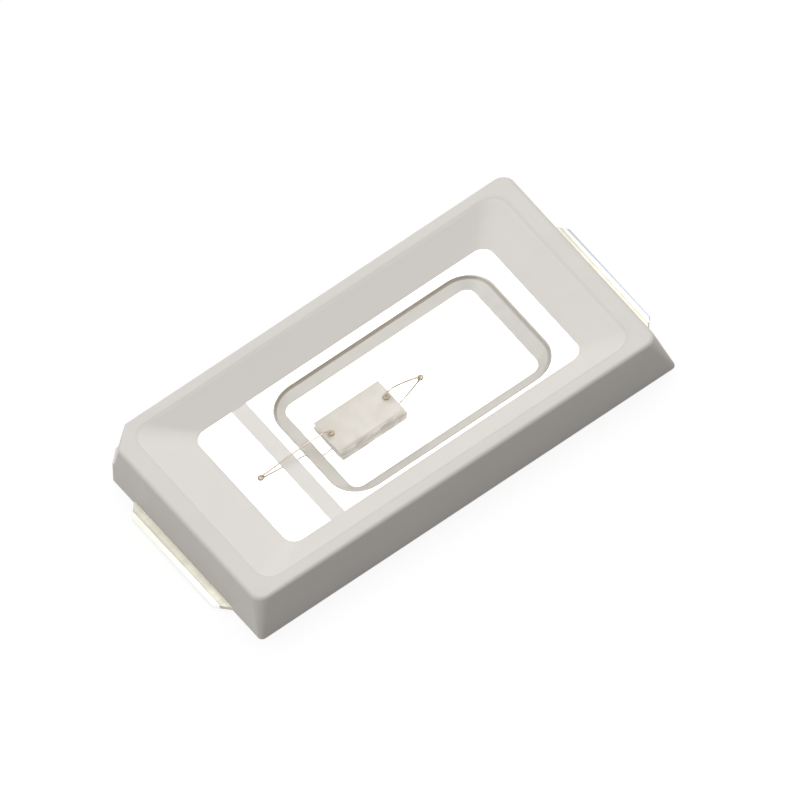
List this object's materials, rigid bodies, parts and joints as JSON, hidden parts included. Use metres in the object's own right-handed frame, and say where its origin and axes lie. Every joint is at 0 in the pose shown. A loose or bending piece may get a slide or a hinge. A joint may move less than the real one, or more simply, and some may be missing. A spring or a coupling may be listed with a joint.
{
  "type": "surface-mount led",
  "caption": "Slim rectangular surface-mount LED: white moulded body with one cut corner, shallow cavity, silvered cup lead, bare chip, fine bond wires and clear resin, solder terminals at both ends.",
  "frame": {"origin": "middle of the part's footprint, on the plane of the solder faces", "axes": "+X along the length, from the small lead's terminal to the large lead's; +Z out of the light-emitting face; +Y across the width"},
  "size_m": [0.0058, 0.003, 0.0006],
  "materials": {
    "white_plastic": "fine matt mould finish",
    "silver_plate": "bright silver plating on rolled copper alloy",
    "clear_adhesive": "cured, glossy",
    "chip_crystal": "sawn and polished crystal, pale grey green",
    "contact_metal": "evaporated metal, brown",
    "bond_wire": "bright drawn wire",
    "clear_resin": "clear, glossy silicone"
  },
  "bodies": {
    "root": {"housing": "white_plastic", "large_lead": "silver_plate", "small_lead": "silver_plate", "die_attach": "clear_adhesive", "chip": "chip_crystal", "contact_left": "contact_metal", "contact_right": "contact_metal", "wire_small_lead": "bond_wire", "wire_cup": "bond_wire", "bond_ball_small_lead": "bond_wire", "bond_ball_cup": "bond_wire", "encapsulant": "clear_resin"}
  },
  "joints": []
}
